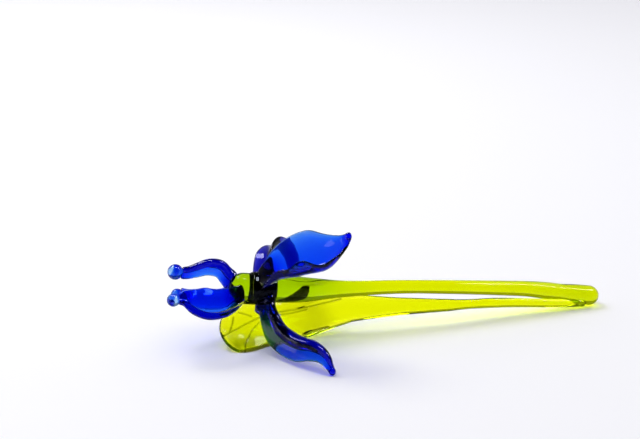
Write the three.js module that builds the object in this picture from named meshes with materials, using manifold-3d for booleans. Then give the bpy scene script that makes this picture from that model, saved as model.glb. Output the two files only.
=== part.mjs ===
// Lampworked glass iris lying on its side: a stem with one leaf, a wound collar, three falls and three
// standards. Millimetres, +Z up. While the pieces are made, +X runs along the stem from the collar to the
// foot, the stem's axis is in the plane y = 0, and z = 0 is the surface that the flower lies on.

import * as THREE from 'three';
import { mergeVertices } from 'three/addons/utils/BufferGeometryUtils.js';
import Module from 'manifold-3d';

const wasm = await Module();
wasm.setup();

// Glass that is fused together on the real flower is kept this far apart.
const FUSE_GAP = 0.3;

// Stem: a rod, thick inside the flower, drawn out slim and gathered again into a rounded foot.
const STEM_HEAD_X = -16;
const STEM_HEAD_HEIGHT = 29.4;
const STEM_HEAD_RADIUS = 6.8;
const STEM_WAIST_RADIUS = 3.4;
const STEM_FOOT_X = 178.5;
const STEM_FOOT_RADIUS = 5.2;
const STEM_FOOT_ROUND = 5.5;
const STEM_FOOT_DIP = 1.3;

// Collar: a band of dark glass wound on the stem's head; the lower its roundness, the squarer its edges.
const COLLAR_START_X = -4.5;
const COLLAR_LENGTH = 11.5;
const COLLAR_WALL = 1.3;
const COLLAR_ROUNDNESS = 0.4;

// Leaf: a pressed blade that runs from the stem's foot to a wide round paddle under the flower.
const LEAF_PADDLE_HALF_WIDTH = 14;
const LEAF_FOOT_HALF_WIDTH = 2;
const LEAF_THICKNESS = 4.4;
const LEAF_NEAR_ROUND = 12;
const LEAF_FAR_ROUND = 15;
const LEAF_FOLD = 1.2;
const LEAF_EDGE_DIP = 0.5;

// How far the near and the far fall reach out from the stem's axis.
const FALL_NEAR_REACH = 47.5;
const FALL_FAR_REACH = 42;

// Petals: the glass is thick at the root, thin in the blade and ends in a small ball.
const FALL_THICKNESS = 2.5;
const FALL_ROOT_THICKNESS = 5.6;
const FALL_NECK_RADIUS = 1.5;
const FALL_BALL_RADIUS = 1.7;
const STANDARD_THICKNESS = 2.9;
const STANDARD_ROOT_THICKNESS = 5;
const UPPER_BALL_RADIUS = 3.7;
const NEAR_BALL_RADIUS = 3.1;
const LOWER_BALL_RADIUS = 3;

// Shares of a petal's length: how far the thick root reaches, and where the blade starts to gather.
const ROOT_REACH = 0.16;
const NECK_START = 0.75;

// The neck's thickness as a share of its width, and how many ball radii before the tip the cup fades out.
const NECK_FLATNESS = 0.85;
const CUP_FADE = 4;

// Shares of the full bend that a petal keeps at its root and at its tip.
const ROOT_BEND = 0.35;
const TIP_BEND = 0.15;

// Powers of the sine by which a petal's width swells, and by which its section is rounded towards the rims.
const SWELL_POWER = 1.3;
const RIM_POWER = 0.8;

// Share of a side's half width, from the spine out, over which the glass takes on the thickness of its rim.
const RIM_REACH = 0.5;

// A side can't be bent by less than this many radians, as its arc would have no radius.
const LEAST_BEND = 0.0001;

// How far a petal's sections lean from its spine towards its chord, so that they don't cross in a bend.
const SECTION_LEAN = 0.6;

// Facets: sides of each section, and sections along each piece. A petal's sections crowd towards its root by
// a power, and those of its ball start a number of ball radii before the tip.
const ROD_SIDES = 24;
const ROD_STEPS = 42;
const COLLAR_STEPS = 12;
const BLADE_SIDES = 20;
const PETAL_STEPS = 24;
const BALL_STEPS = 9;
const LEAF_STEPS = 36;
const ROOT_CROWDING = 1.25;
const BALL_REACH = 2.4;
const CURVE_DIVISIONS = 400;
const HALVINGS = 40;

const BLUE_GLASS = { color: 0x1238d8, roughness: 0.05, metalness: 0 };
const GREEN_GLASS = { color: 0xc4d800, roughness: 0.05, metalness: 0 };
const DARK_GLASS = { color: 0x0a1020, roughness: 0.05, metalness: 0 };

// x, height of the axis and radius, from the flower to the foot.
const STEM_SECTIONS = [
  [STEM_HEAD_X, STEM_HEAD_HEIGHT, STEM_HEAD_RADIUS],
  [5, 26, STEM_HEAD_RADIUS],
  [19, 24, STEM_HEAD_RADIUS * 0.92],
  [41, 22.1, STEM_WAIST_RADIUS * 1.2],
  [70, 20.2, STEM_WAIST_RADIUS],
  [97, 17.3, STEM_WAIST_RADIUS * 1.03],
  [124, 14, STEM_WAIST_RADIUS * 1.1],
  [139, 12, STEM_FOOT_RADIUS * 0.77],
  [151, 9.6, STEM_FOOT_RADIUS * 0.85],
  [157, 8.4, STEM_FOOT_RADIUS * 0.82],
  [165, 6.7, STEM_FOOT_RADIUS * 0.93],
  [STEM_FOOT_X, STEM_FOOT_RADIUS - STEM_FOOT_DIP, STEM_FOOT_RADIUS],
];

// x, y, z of the middle, half width and tilt in degrees, from the foot to the paddle's end. Where the paddle
// lies on the surface, its height follows from its width and tilt, so that its near edge stays there.
const PADDLE_TILT = 36;
const PADDLE_HEIGHT = LEAF_PADDLE_HALF_WIDTH * Math.sin(THREE.MathUtils.degToRad(PADDLE_TILT)) - LEAF_EDGE_DIP;
const LEAF_SECTIONS = [
  [170, -3.6, 2.6, LEAF_FOOT_HALF_WIDTH, 80],
  [153, -3.4, 4, LEAF_FOOT_HALF_WIDTH * 1.1, 84],
  [123, -3, 7.3, LEAF_FOOT_HALF_WIDTH * 1.25, 80],
  [95, -3.8, 9.3, LEAF_FOOT_HALF_WIDTH * 1.55, 66],
  [69, -2.4, 10.8, LEAF_FOOT_HALF_WIDTH * 2.2, 66],
  [44, -0.4, 11.6, LEAF_PADDLE_HALF_WIDTH * 0.49, 62],
  [34, 1, 10.6, LEAF_PADDLE_HALF_WIDTH * 0.64, 50],
  [21.5, 2.8, 9.3, LEAF_PADDLE_HALF_WIDTH * 0.88, 40],
  [2, 1.7, PADDLE_HEIGHT, LEAF_PADDLE_HALF_WIDTH, PADDLE_TILT],
  [-8, -2, PADDLE_HEIGHT, LEAF_PADDLE_HALF_WIDTH, PADDLE_TILT],
  [-21.5, -2.5, PADDLE_HEIGHT, LEAF_PADDLE_HALF_WIDTH, PADDLE_TILT],
];

// A petal is a lens section carried along its spine, hollow towards its facing directions, which are spread
// evenly from root to tip. Its right and left sides, seen from the root with the hollow up, each have a half
// width, the share of the length where that is widest, the degrees that the side is bent through, and how
// thick the rim is, as a share of the petal's thickness. A ruffle adds [degrees, waves, phase] to the bend.
const FALL = {
  thickness: FALL_THICKNESS,
  rootThickness: FALL_ROOT_THICKNESS,
  neck: FALL_NECK_RADIUS,
  ball: FALL_BALL_RADIUS,
  heel: 2,
};
const STANDARD = {
  thickness: STANDARD_THICKNESS,
  rootThickness: STANDARD_ROOT_THICKNESS,
  heel: 2,
};
const FALL_UPPER = {
  ...FALL,
  spine: [[-1.5, -3, 32], [2, -7, 35], [7.5, -10.5, 38.5], [15.5, -14, 41], [22.5, -17.5, 43],
    [28.5, -20.5, 46.5], [33, -22.5, 52], [37.5, -23.5, 59.5]],
  facing: [[-0.5, -0.6, 0.6], [-0.35, -0.55, 0.75], [-0.3, -0.55, 0.75], [-0.3, -0.55, 0.75],
    [-0.3, -0.55, 0.75]],
  left: { root: 5, half: 18, widest: 0.55, bend: 40, ruffle: [5, 2, -0.15], rim: 0.55 },
  right: { root: 5, half: 14.5, widest: 0.5, bend: 145, ruffle: [14, 3.5, 0.4], rim: 1.8 },
  taper: 1.5,
};
const FALL_NEAR = {
  ...FALL,
  spine: [[-0.5, 0.06, 24.5], [0.5, 0.17, 20.5], [0.5, 0.29, 16.5], [2, 0.43, 11.5], [5.5, 0.57, 9],
    [9.5, 0.71, 8.5], [15, 0.81, 9], [19.5, 0.91, 7.5], [23.5, 1, 0.5]]
    .map(([x, share, z]) => [x, -share * FALL_NEAR_REACH, z]),
  facing: [[0.3, 0.8, -0.4], [0.35, 0.85, -0.3], [0.4, 0.85, -0.2], [0.35, 0.85, -0.2], [0.2, 0.8, -0.4],
    [0.1, 0.5, -0.75]],
  left: { root: 4, half: 6.5, widest: 0.65, bend: 30, ruffle: [5, 2, 0], rim: 0.4 },
  right: { root: 3, half: 7, widest: 0.55, bend: 60, ruffle: [1, 2, 0], rim: 2.2 },
  taper: 1.7,
};
const FALL_FAR = {
  ...FALL,
  spine: [[1.5, 0.1, 26.5], [3.5, 0.19, 34], [6.5, 0.33, 39], [12.5, 0.52, 39], [18.5, 0.71, 33],
    [23.5, 0.86, 23.5], [26, 0.95, 12.5], [28, 1, 0]]
    .map(([x, share, z]) => [x, share * FALL_FAR_REACH, z]),
  facing: [[-0.6, -0.1, 0.7], [-0.5, 0.1, 0.8], [-0.3, 0.4, 0.8], [0.1, 0.7, 0.6], [0.35, 0.9, 0.3],
    [0.5, 0.8, 0.2]],
  left: { root: 5, half: 7, widest: 0.5, bend: 70, ruffle: [11, 2, 0.1], rim: 1 },
  right: { root: 5, half: 6, widest: 0.5, bend: 60, ruffle: [13, 2, 0.6], rim: 0.6 },
  taper: 1.3,
};
const STANDARD_UPPER = {
  ...STANDARD,
  spine: [[-13.5, 2, 29], [-16.5, 3, 33], [-19.5, 3.5, 37], [-25, 3.5, 38.5], [-30.5, 3.5, 37.5],
    [-36.5, 3, 37], [-44.5, 3, 39]],
  facing: [[0.5, 0.6, -0.4], [0.2, 0.85, -0.4], [0, 0.95, -0.3], [0, 0.95, -0.3], [0, 0.8, -0.5]],
  left: { root: 5, half: 4, widest: 0.2, bend: 80, ruffle: [5, 1.5, 0], rim: 2.2 },
  right: { root: 5, half: 4.5, widest: 0.2, bend: 35, ruffle: [5, 1.5, 0], rim: 0.4 },
  taper: 3,
  neck: 2.9,
  ball: UPPER_BALL_RADIUS,
};
const STANDARD_NEAR = {
  ...STANDARD,
  spine: [[-10, -7, 23.5], [-14.5, -10, 22.5], [-21, -12.5, 21.5], [-28.5, -13, 22], [-34.5, -11, 24.5],
    [-39, -8.5, 28], [-46.5, -6, 27.5]],
  facing: [[0.1, -0.85, 0.5], [0, -0.8, 0.6], [0, -0.75, 0.65], [0, -0.75, 0.65], [0, -0.7, 0.7]],
  left: { root: 1.5, half: 3, widest: 0.55, bend: 90, ruffle: [3, 1.5, 0], rim: 1.6 },
  right: { root: 10, half: 12, widest: 0.5, bend: 35, ruffle: [3, 1.5, 0], rim: 0.35 },
  taper: 2.4,
  neck: 2.4,
  ball: NEAR_BALL_RADIUS,
  heel: 5,
};
const STANDARD_LOWER = {
  ...STANDARD,
  spine: [[-10, 4, 24.5], [-13.5, 6, 22.5], [-19, 8, 20.5], [-26, 9, 20.5], [-33, 8, 22], [-37, 6, 24],
    [-43, 4, 26.5]],
  facing: [[0, 0.6, -0.7], [0, 0.6, -0.7]],
  left: { root: 6, half: 8, widest: 0.4, bend: 62, ruffle: [8, 1.5, 0], rim: 0.5 },
  right: { root: 5, half: 6, widest: 0.4, bend: 45, ruffle: [8, 1.5, 0.5], rim: 0.5 },
  taper: 1.3,
  neck: 2.4,
  ball: LOWER_BALL_RADIUS,
};

const { clamp, degToRad, smoothstep } = THREE.MathUtils;
const vector = (p) => new THREE.Vector3(...p);
const curveThrough = (points) => new THREE.CatmullRomCurve3(points.map(vector), false, 'centripetal');

// Shares from 0 to 1 that crowd towards both ends, without the ends themselves.
function easedShares(steps) {
  return Array.from({ length: steps - 1 }, (_, i) => (1 - Math.cos((Math.PI * (i + 1)) / steps)) / 2);
}

// Height of a round end at a distance from its pole: 0 at the pole, 1 from the given length on.
function roundEnd(distance, length) {
  const x = clamp((length - distance) / length, 0, 1);
  return Math.sqrt(1 - x * x);
}

// Closed solid through rings of points, with a pole at each end.
function loft(startPole, rings, endPole) {
  const sides = rings[0].length;
  const points = [startPole, ...rings.flat(), endPole];
  const last = points.length - 1;
  const at = (ring, side) => 1 + ring * sides + (side % sides);
  const triangles = [];
  for (let side = 0; side < sides; side += 1) {
    triangles.push(0, at(0, side), at(0, side + 1));
    for (let ring = 0; ring < rings.length - 1; ring += 1) {
      triangles.push(at(ring, side), at(ring + 1, side), at(ring, side + 1));
      triangles.push(at(ring + 1, side), at(ring + 1, side + 1), at(ring, side + 1));
    }
    triangles.push(last, at(rings.length - 1, side + 1), at(rings.length - 1, side));
  }
  const geometry = new THREE.BufferGeometry();
  geometry.setAttribute('position', new THREE.Float32BufferAttribute(points.flatMap((p) => p.toArray()), 3));
  geometry.setIndex(triangles);
  return geometry;
}

function toSolid(geometry) {
  const vertProperties = new Float32Array(geometry.attributes.position.array);
  const triVerts = new Uint32Array(geometry.index.array);
  return new wasm.Manifold(new wasm.Mesh({ numProp: 3, vertProperties, triVerts }));
}

function toGeometry(solid) {
  const { vertProperties, triVerts } = solid.getMesh();
  const geometry = new THREE.BufferGeometry();
  geometry.setAttribute('position', new THREE.BufferAttribute(vertProperties, 3));
  geometry.setIndex(new THREE.BufferAttribute(triVerts, 1));
  return geometry;
}

// What is left of a solid when others are cut from it: the largest body, without loose slivers.
function cut(solid, ...others) {
  const left = others.reduce((rest, other) => rest.subtract(other), solid);
  return left.decompose().sort((a, b) => b.volume() - a.volume())[0];
}

// The stem's axis and radius as one curve, whose points hold x, radius and height.
const stemCurve = curveThrough(STEM_SECTIONS.map(([x, height, radius]) => [x, radius, height]));

function stemSection(share) {
  const { x, y: radius, z } = stemCurve.getPoint(share);
  const tangent = stemCurve.getTangent(share).setY(0).normalize();
  return { centre: new THREE.Vector3(x, 0, z), radius, tangent };
}

// The share of the stem's curve where it passes x.
function stemShare(x) {
  let low = 0;
  let high = 1;
  for (let pass = 0; pass < HALVINGS; pass += 1) {
    const middle = (low + high) / 2;
    if (stemCurve.getPoint(middle).x < x) low = middle;
    else high = middle;
  }
  return low;
}

function ringAround({ centre, tangent }, radius) {
  const up = new THREE.Vector3(-tangent.z, 0, tangent.x);
  const across = new THREE.Vector3().crossVectors(tangent, up);
  return Array.from({ length: ROD_SIDES }, (_, side) => {
    const angle = (2 * Math.PI * side) / ROD_SIDES;
    const outward = across.clone().multiplyScalar(Math.cos(angle)).addScaledVector(up, Math.sin(angle));
    return outward.multiplyScalar(radius).add(centre);
  });
}

// The rod with its two round ends, its surface moved out by grow.
function stemSolid(grow) {
  const rings = easedShares(ROD_STEPS).map(stemSection).map((section) => {
    const { x } = section.centre;
    const headRound = roundEnd(x - STEM_HEAD_X, STEM_HEAD_RADIUS);
    const footRound = roundEnd(STEM_FOOT_X - x, STEM_FOOT_ROUND);
    section.centre.addScaledVector(section.tangent, grow * (headRound - footRound));
    return ringAround(section, section.radius * headRound * footRound + grow);
  });
  const head = stemSection(0);
  const foot = stemSection(1);
  head.centre.addScaledVector(head.tangent, -grow);
  foot.centre.addScaledVector(foot.tangent, grow);
  return toSolid(loft(head.centre, rings, foot.centre));
}

// The wound band before the stem is cut from it: a barrel with round edges, its surface moved out by grow.
function collarSolid(grow) {
  const length = COLLAR_LENGTH + 2 * grow;
  const sectionAt = (share) => stemSection(stemShare(COLLAR_START_X - grow + length * share));
  const rings = easedShares(COLLAR_STEPS).map((share) => {
    const section = sectionAt(share);
    const bulge = Math.sin(Math.PI * share) ** COLLAR_ROUNDNESS;
    return ringAround(section, section.radius + (FUSE_GAP + COLLAR_WALL) * bulge + grow);
  });
  return toSolid(loft(sectionAt(0).centre, rings, sectionAt(1).centre));
}

// The pressed blade: a lens section, folded a little along the midrib, that turns from on edge to lying.
function leafSolid() {
  const path = curveThrough(LEAF_SECTIONS.map(([x, y, z]) => [x, y, z]));
  const shape = curveThrough(LEAF_SECTIONS.map(([, , , halfWidth, tilt]) => [halfWidth, tilt, 0]));
  const footEnd = path.getPoint(0);
  const paddleEnd = path.getPoint(1);
  const rings = easedShares(LEAF_STEPS).map((share) => {
    const centre = path.getPoint(share);
    const { x: halfWidth, y: tilt } = shape.getPoint(share);
    const lean = degToRad(tilt);
    const facing = new THREE.Vector3(0, -Math.sin(lean), Math.cos(lean));
    const across = new THREE.Vector3(0, Math.cos(lean), Math.sin(lean));
    const footRound = roundEnd(centre.distanceTo(footEnd), LEAF_FOOT_HALF_WIDTH);
    const fold = LEAF_FOLD * (halfWidth / LEAF_PADDLE_HALF_WIDTH);
    return Array.from({ length: BLADE_SIDES }, (_, side) => {
      const angle = (2 * Math.PI * side) / BLADE_SIDES;
      const out = Math.cos(angle);
      const endLength = out > 0 ? LEAF_FAR_ROUND : LEAF_NEAR_ROUND;
      const round = footRound * roundEnd(centre.distanceTo(paddleEnd), endLength);
      const halfThick = (LEAF_THICKNESS / 2) * Math.sqrt(round);
      const rise = halfThick * Math.sin(angle) + fold * round * (Math.abs(out) - 1);
      return centre.clone().addScaledVector(across, halfWidth * round * out).addScaledVector(facing, rise);
    });
  });
  return toSolid(loft(footEnd, rings, paddleEnd));
}

// Rises from root to belly at the widest share and falls to tip, level at the belly.
function swell(share, root, belly, tip, widest, rise, taper) {
  if (share < widest) return root + (belly - root) * Math.sin((Math.PI / 2) * (share / widest)) ** rise;
  return tip + (belly - tip) * Math.sin((Math.PI / 2) * ((1 - share) / (1 - widest))) ** taper;
}

// A cupped petal, its surface moved out by grow: each side of the lens section is bent on an arc, the heel of
// the root is rounded, and the tip is gathered into a ball.
function petalSolid(petal, grow) {
  const curve = curveThrough(petal.spine);
  curve.arcLengthDivisions = CURVE_DIVISIONS;
  const length = curve.getLength();
  const start = curve.getPointAt(0);
  const end = curve.getPointAt(1);
  const chord = end.clone().sub(start).normalize();
  const facings = petal.facing.map(vector);

  const facingAt = (share) => {
    const place = share * (facings.length - 1);
    const index = Math.min(Math.floor(place), facings.length - 2);
    return facings[index].clone().lerp(facings[index + 1], place - index);
  };

  // At a share of the length: the half thickness for what a rim adds to it, the power of its rounding, and
  // each side's half width, bend and what its rim adds.
  const sectionAt = (share) => {
    const toTip = (1 - share) * length;
    const heel = roundEnd(share * length, petal.heel);
    const cap = roundEnd(toTip, petal.ball);
    const ball = Math.sqrt(Math.max(petal.ball ** 2 - (toTip - petal.ball) ** 2, 0));
    const cupped = smoothstep(toTip, petal.ball, CUP_FADE * petal.ball);
    const size = (full) => Math.max(full * cap, ball) * heel + grow;
    const blade = petal.thickness / 2;
    const rootPart = Math.exp(-((share / ROOT_REACH) ** 2));
    const neckPart = clamp((share - NECK_START) / (1 - NECK_START), 0, 1) ** 2;
    const halfThick = blade + (petal.rootThickness / 2 - blade) * rootPart
      + (NECK_FLATNESS * petal.neck - blade) * neckPart;
    const side = ({ root, half, widest, bend, ruffle: [ruffleBend, waves, phase], rim }) => {
      const wave = ruffleBend * Math.sin(Math.PI * share) * Math.sin(2 * Math.PI * (waves * share + phase));
      const bent = bend * swell(share, ROOT_BEND, 1, TIP_BEND, widest, 1, SWELL_POWER) + wave;
      return {
        width: size(swell(share, root, half, petal.neck, widest, SWELL_POWER, petal.taper)),
        bent: Math.max(degToRad(bent) * cupped, LEAST_BEND),
        rim: blade * (rim - 1) * cupped,
      };
    };
    const power = 1 + (RIM_POWER - 1) * cupped;
    return { thick: (rim) => size(halfThick + rim), power, right: side(petal.right), left: side(petal.left) };
  };

  const ring = (share) => {
    const centre = curve.getPointAt(share);
    const tangent = curve.getTangentAt(share).lerp(chord, SECTION_LEAN).normalize();
    const facing = facingAt(share).projectOnPlane(tangent).normalize();
    const across = new THREE.Vector3().crossVectors(tangent, facing);
    const { thick, power, right, left } = sectionAt(share);
    const thin = Math.min(right.rim, left.rim);
    return Array.from({ length: BLADE_SIDES }, (_, step) => {
      const angle = (2 * Math.PI * step) / BLADE_SIDES;
      const out = Math.cos(angle);
      const up = Math.sin(angle);
      const { width, bent, rim } = out >= 0 ? right : left;
      const turn = bent * out;
      const half = thick(thin + (rim - thin) * smoothstep(Math.abs(out), 0, RIM_REACH));
      const rise = half * Math.sign(up) * Math.abs(up) ** power;
      const x = (width / bent - rise) * Math.sin(turn);
      const y = (width / bent) * (1 - Math.cos(turn)) + rise * Math.cos(turn);
      return centre.clone().addScaledVector(across, x).addScaledVector(facing, y);
    });
  };

  const gathered = (BALL_REACH * petal.ball) / length;
  const bladeShares = Array.from({ length: PETAL_STEPS }, (_, i) => (
    (1 - gathered) * ((i + 1) / PETAL_STEPS) ** ROOT_CROWDING
  ));
  const ballShares = easedShares(BALL_STEPS).map((share) => 1 - gathered * (1 - share));
  start.addScaledVector(curve.getTangentAt(0), -grow);
  end.addScaledVector(curve.getTangentAt(1), grow);
  return toSolid(loft(start, [...bladeShares, ...ballShares].map(ring), end));
}

// The space under the surface that the flower lies on: glass that dips into it is left flat.
function groundSolid() {
  const span = 2 * (STEM_FOOT_X - STEM_HEAD_X);
  const depth = 20;
  const box = new THREE.BoxGeometry(span, span, depth).translate(0, 0, -depth / 2);
  box.deleteAttribute('normal');
  box.deleteAttribute('uv');
  return toSolid(mergeVertices(box));
}

// Each piece is cut clear of the glass that it is fused to, and of its neighbours.
const ground = groundSolid();
const grownStem = stemSolid(FUSE_GAP);
const grownCollar = collarSolid(FUSE_GAP);
const grownFallUpper = petalSolid(FALL_UPPER, FUSE_GAP);
const grownFallNear = petalSolid(FALL_NEAR, FUSE_GAP);
const grownStandardNear = petalSolid(STANDARD_NEAR, FUSE_GAP);
const grownStandardUpper = petalSolid(STANDARD_UPPER, FUSE_GAP);
const grownStandardLower = petalSolid(STANDARD_LOWER, FUSE_GAP);

const petal = (spec, ...neighbours) => [cut(petalSolid(spec, 0), grownStem, ...neighbours), BLUE_GLASS];
const pieces = {
  stem: [cut(stemSolid(0), ground), GREEN_GLASS],
  leaf: [cut(leafSolid(), grownStem, grownCollar, grownFallNear, grownStandardLower, ground), GREEN_GLASS],
  collar: [cut(collarSolid(0), grownStem), DARK_GLASS],
  fall_upper: petal(FALL_UPPER, grownCollar),
  fall_near: petal(FALL_NEAR, grownCollar, grownFallUpper, ground),
  fall_far: petal(FALL_FAR, grownCollar, grownFallUpper, grownFallNear, ground),
  standard_upper: petal(STANDARD_UPPER, grownStandardNear),
  standard_near: petal(STANDARD_NEAR),
  standard_lower: petal(STANDARD_LOWER, grownStandardNear, grownStandardUpper),
};

const iris = new THREE.Group();
iris.name = 'glass_iris';
for (const [name, [solid, glass]] of Object.entries(pieces)) {
  const mesh = new THREE.Mesh(toGeometry(solid), new THREE.MeshStandardMaterial(glass));
  mesh.name = name;
  iris.add(mesh);
}

// The origin is under the middle of the whole flower.
const middle = new THREE.Box3().setFromObject(iris).getCenter(new THREE.Vector3());
for (const mesh of iris.children) mesh.geometry.translate(-middle.x, -middle.y, 0);

export default iris;
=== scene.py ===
"""Looks of a lampworked glass iris that lies on its side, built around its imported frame.

The shapes are worked out in millimetres on the maker's bench: +X runs along the stem from the collar to the
foot, the stem's axis is in the plane y = 0 and z = 0 is the table. They end in the row frame, in metres.
"""

import logging
import math
from dataclasses import dataclass
from enum import Enum
from functools import cache

import bpy
import numpy as np
from numpy.typing import NDArray
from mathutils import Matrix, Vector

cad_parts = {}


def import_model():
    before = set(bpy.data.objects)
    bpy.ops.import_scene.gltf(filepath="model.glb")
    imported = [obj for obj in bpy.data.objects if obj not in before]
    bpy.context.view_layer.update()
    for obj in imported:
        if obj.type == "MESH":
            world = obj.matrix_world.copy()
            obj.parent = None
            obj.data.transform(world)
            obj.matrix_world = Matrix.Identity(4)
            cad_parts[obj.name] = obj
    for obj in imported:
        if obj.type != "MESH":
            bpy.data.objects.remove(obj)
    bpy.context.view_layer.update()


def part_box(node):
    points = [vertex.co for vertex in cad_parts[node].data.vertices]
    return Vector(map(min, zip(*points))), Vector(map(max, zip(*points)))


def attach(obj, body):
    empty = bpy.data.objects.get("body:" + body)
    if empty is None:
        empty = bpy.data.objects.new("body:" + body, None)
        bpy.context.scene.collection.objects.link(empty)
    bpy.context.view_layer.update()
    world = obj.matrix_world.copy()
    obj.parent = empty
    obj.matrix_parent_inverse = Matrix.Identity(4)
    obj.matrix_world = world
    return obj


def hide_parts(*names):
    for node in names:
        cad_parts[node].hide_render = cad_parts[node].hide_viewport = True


Array = NDArray[np.float64]
Point = tuple[float, float, float]
LOG = logging.getLogger("glass_iris")
MM = 0.001
TINY = 1e-12
LEAST_STEP = 1e-4
CLEAR: Point = (1.0, 1.0, 1.0)
Object = bpy.types.Object
Node = bpy.types.Node
Tree = bpy.types.NodeTree
Key = str | int


class Attribute(Enum):
    """Point attributes that the glass reads: pale tip, painted shade on a rim or in a crease, dark root
    (painted shade on the stem).
    """

    TIP = "tip"
    RIM = "rim"
    ROOT = "root"

    @property
    def mask(self) -> str:
        """Name of the socket that takes the mask; the colour's has the attribute's own name."""
        return self.value + " mask"


def unit(vectors: Array) -> Array:
    """Vectors scaled to length one."""
    return vectors / np.maximum(np.linalg.norm(vectors, axis=-1, keepdims=True), TINY)


def ease(x: Array) -> Array:
    """Smooth step from 0 to 1: 3x² - 2x³ on the clipped input."""
    x = np.clip(x, 0.0, 1.0)
    return x * x * (3.0 - 2.0 * x)


def round_end(distance: Array, length: float) -> Array:
    """Height of a round end: 0 at its pole, on a quarter ellipse up to 1 at the given length."""
    return np.sqrt(np.maximum(1.0 - np.clip((length - distance) / length, 0.0, 1.0) ** 2, 0.0))


def eased_shares(steps: int) -> Array:
    """Shares from 0 to 1 that crowd towards both ends on a cosine, without the ends."""
    return (1.0 - np.cos(np.pi * np.arange(1, steps) / steps)) / 2.0


def full_turn(sides: int) -> Array:
    """Angles in radians of points spread evenly round a full turn."""
    return 2 * np.pi * np.arange(sides) / sides


def swell(
    share: Array, root: float, belly: float, tip: float, widest: float, rise: float, taper: float
) -> Array:
    """Rises from root to belly at the widest share and falls to tip, on powers of a quarter sine.

    Args:
        share: shares of the length.
        root: value at share 0.
        belly: value at the widest share.
        tip: value at share 1.
        widest: where the belly is.
        rise: power of the sine before the belly.
        taper: power of the sine after it.

    Returns:
        The value at each share.
    """
    before = share < widest
    x = np.where(before, share / widest, (1.0 - share) / (1.0 - widest))
    end = np.where(before, root, tip)
    return end + (belly - end) * np.sin(np.pi / 2 * np.clip(x, 0.0, 1.0)) ** np.where(before, rise, taper)


def catmull_rom(points: Array, places: Array) -> Array:
    """Centripetal Catmull-Rom curve: a cubic between each two points whose end slopes weigh the neighbours by
    the square root of their distance.

    Args:
        points: the points that the curve passes, one per row.
        places: where it is read, counted in points from 0.

    Returns:
        One row per place.
    """
    p = np.asarray(points, float)
    ends = np.vstack([2 * p[0] - p[1], p, 2 * p[-1] - p[-2]])
    index = np.clip(np.floor(places).astype(int), 0, len(p) - 2)
    w = (places - index)[:, None]
    a, b, c, d = (ends[index + k] for k in range(4))
    ab, bc, cd = (np.linalg.norm(v, axis=1, keepdims=True) ** 0.5 for v in (b - a, c - b, d - c))
    bc = np.where(bc < LEAST_STEP, 1.0, bc)
    ab, cd = (np.where(v < LEAST_STEP, bc, v) for v in (ab, cd))
    out = ((b - a) / ab - (c - a) / (ab + bc) + (c - b) / bc) * bc
    into = ((c - b) / bc - (d - b) / (bc + cd) + (d - c) / cd) * bc
    return b + out * w + (3 * (c - b) - 2 * out - into) * w**2 + (2 * (b - c) + out + into) * w**3


class Spine:
    """A smooth curve that is read by shares of its length."""

    SAMPLES_PER_POINT = 80
    REACH = 0.004

    def __init__(self, points: list[Point]) -> None:
        """Samples the curve finely and adds up its length.

        Args:
            points: the points that it passes, in mm.
        """
        places = np.linspace(0, len(points) - 1, self.SAMPLES_PER_POINT * len(points))
        self.samples = catmull_rom(np.array(points), places)
        steps = np.linalg.norm(np.diff(self.samples, axis=0), axis=1)
        self.along = np.concatenate([[0.0], np.cumsum(steps)])
        self.length = float(self.along[-1])

    def at(self, shares: Array) -> Array:
        """Points of the curve at the given shares of its length."""
        return np.stack([np.interp(shares * self.length, self.along, axis) for axis in self.samples.T], -1)

    def tangent(self, shares: Array) -> Array:
        """Directions of the curve at the given shares of its length."""
        ahead, behind = np.minimum(shares + self.REACH, 1.0), np.maximum(shares - self.REACH, 0.0)
        return unit(self.at(ahead) - self.at(behind))


@cache
def bench_shift() -> Array:
    """Where the bench's origin lies in the row frame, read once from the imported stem's head and axis."""
    low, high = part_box("stem")
    return np.array([low.x - Stem.head_x * MM, (low.y + high.y) / 2, 0.0])


def to_row(points: Array) -> Array:
    """Bench millimetres to row metres."""
    return np.asarray(points, float) * MM + bench_shift()


def strip(rings: int, sides: int, first: int, joined: bool) -> Array:
    """Quads between neighbouring rings of points.

    Args:
        rings: how many rings there are.
        sides: points in each ring.
        first: number of the first ring's first point.
        joined: whether the last ring joins the first.

    Returns:
        Four point numbers per quad.
    """
    ring, side = np.meshgrid(np.arange(rings if joined else rings - 1), np.arange(sides), indexing="ij")
    after, turned = (ring + 1) % rings, (side + 1) % sides
    corners = ((ring, side), (after, side), (after, turned), (ring, turned))
    return first + np.stack([r * sides + s for r, s in corners], -1).reshape(-1, 4)


def new_object(name: str, points: Array, faces: list[list[int]]) -> Object:
    """A smooth mesh object at the origin.

    Args:
        name: the object's name.
        points: points in metres of the row frame.
        faces: point numbers of each face.

    Returns:
        The object, linked to the scene.
    """
    mesh = bpy.data.meshes.new(name)
    mesh.from_pydata(points.reshape(-1, 3).tolist(), [], faces)
    mesh.shade_smooth()
    mesh.update()
    made = bpy.data.objects.new(name, mesh)
    bpy.context.scene.collection.objects.link(made)
    return made


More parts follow.
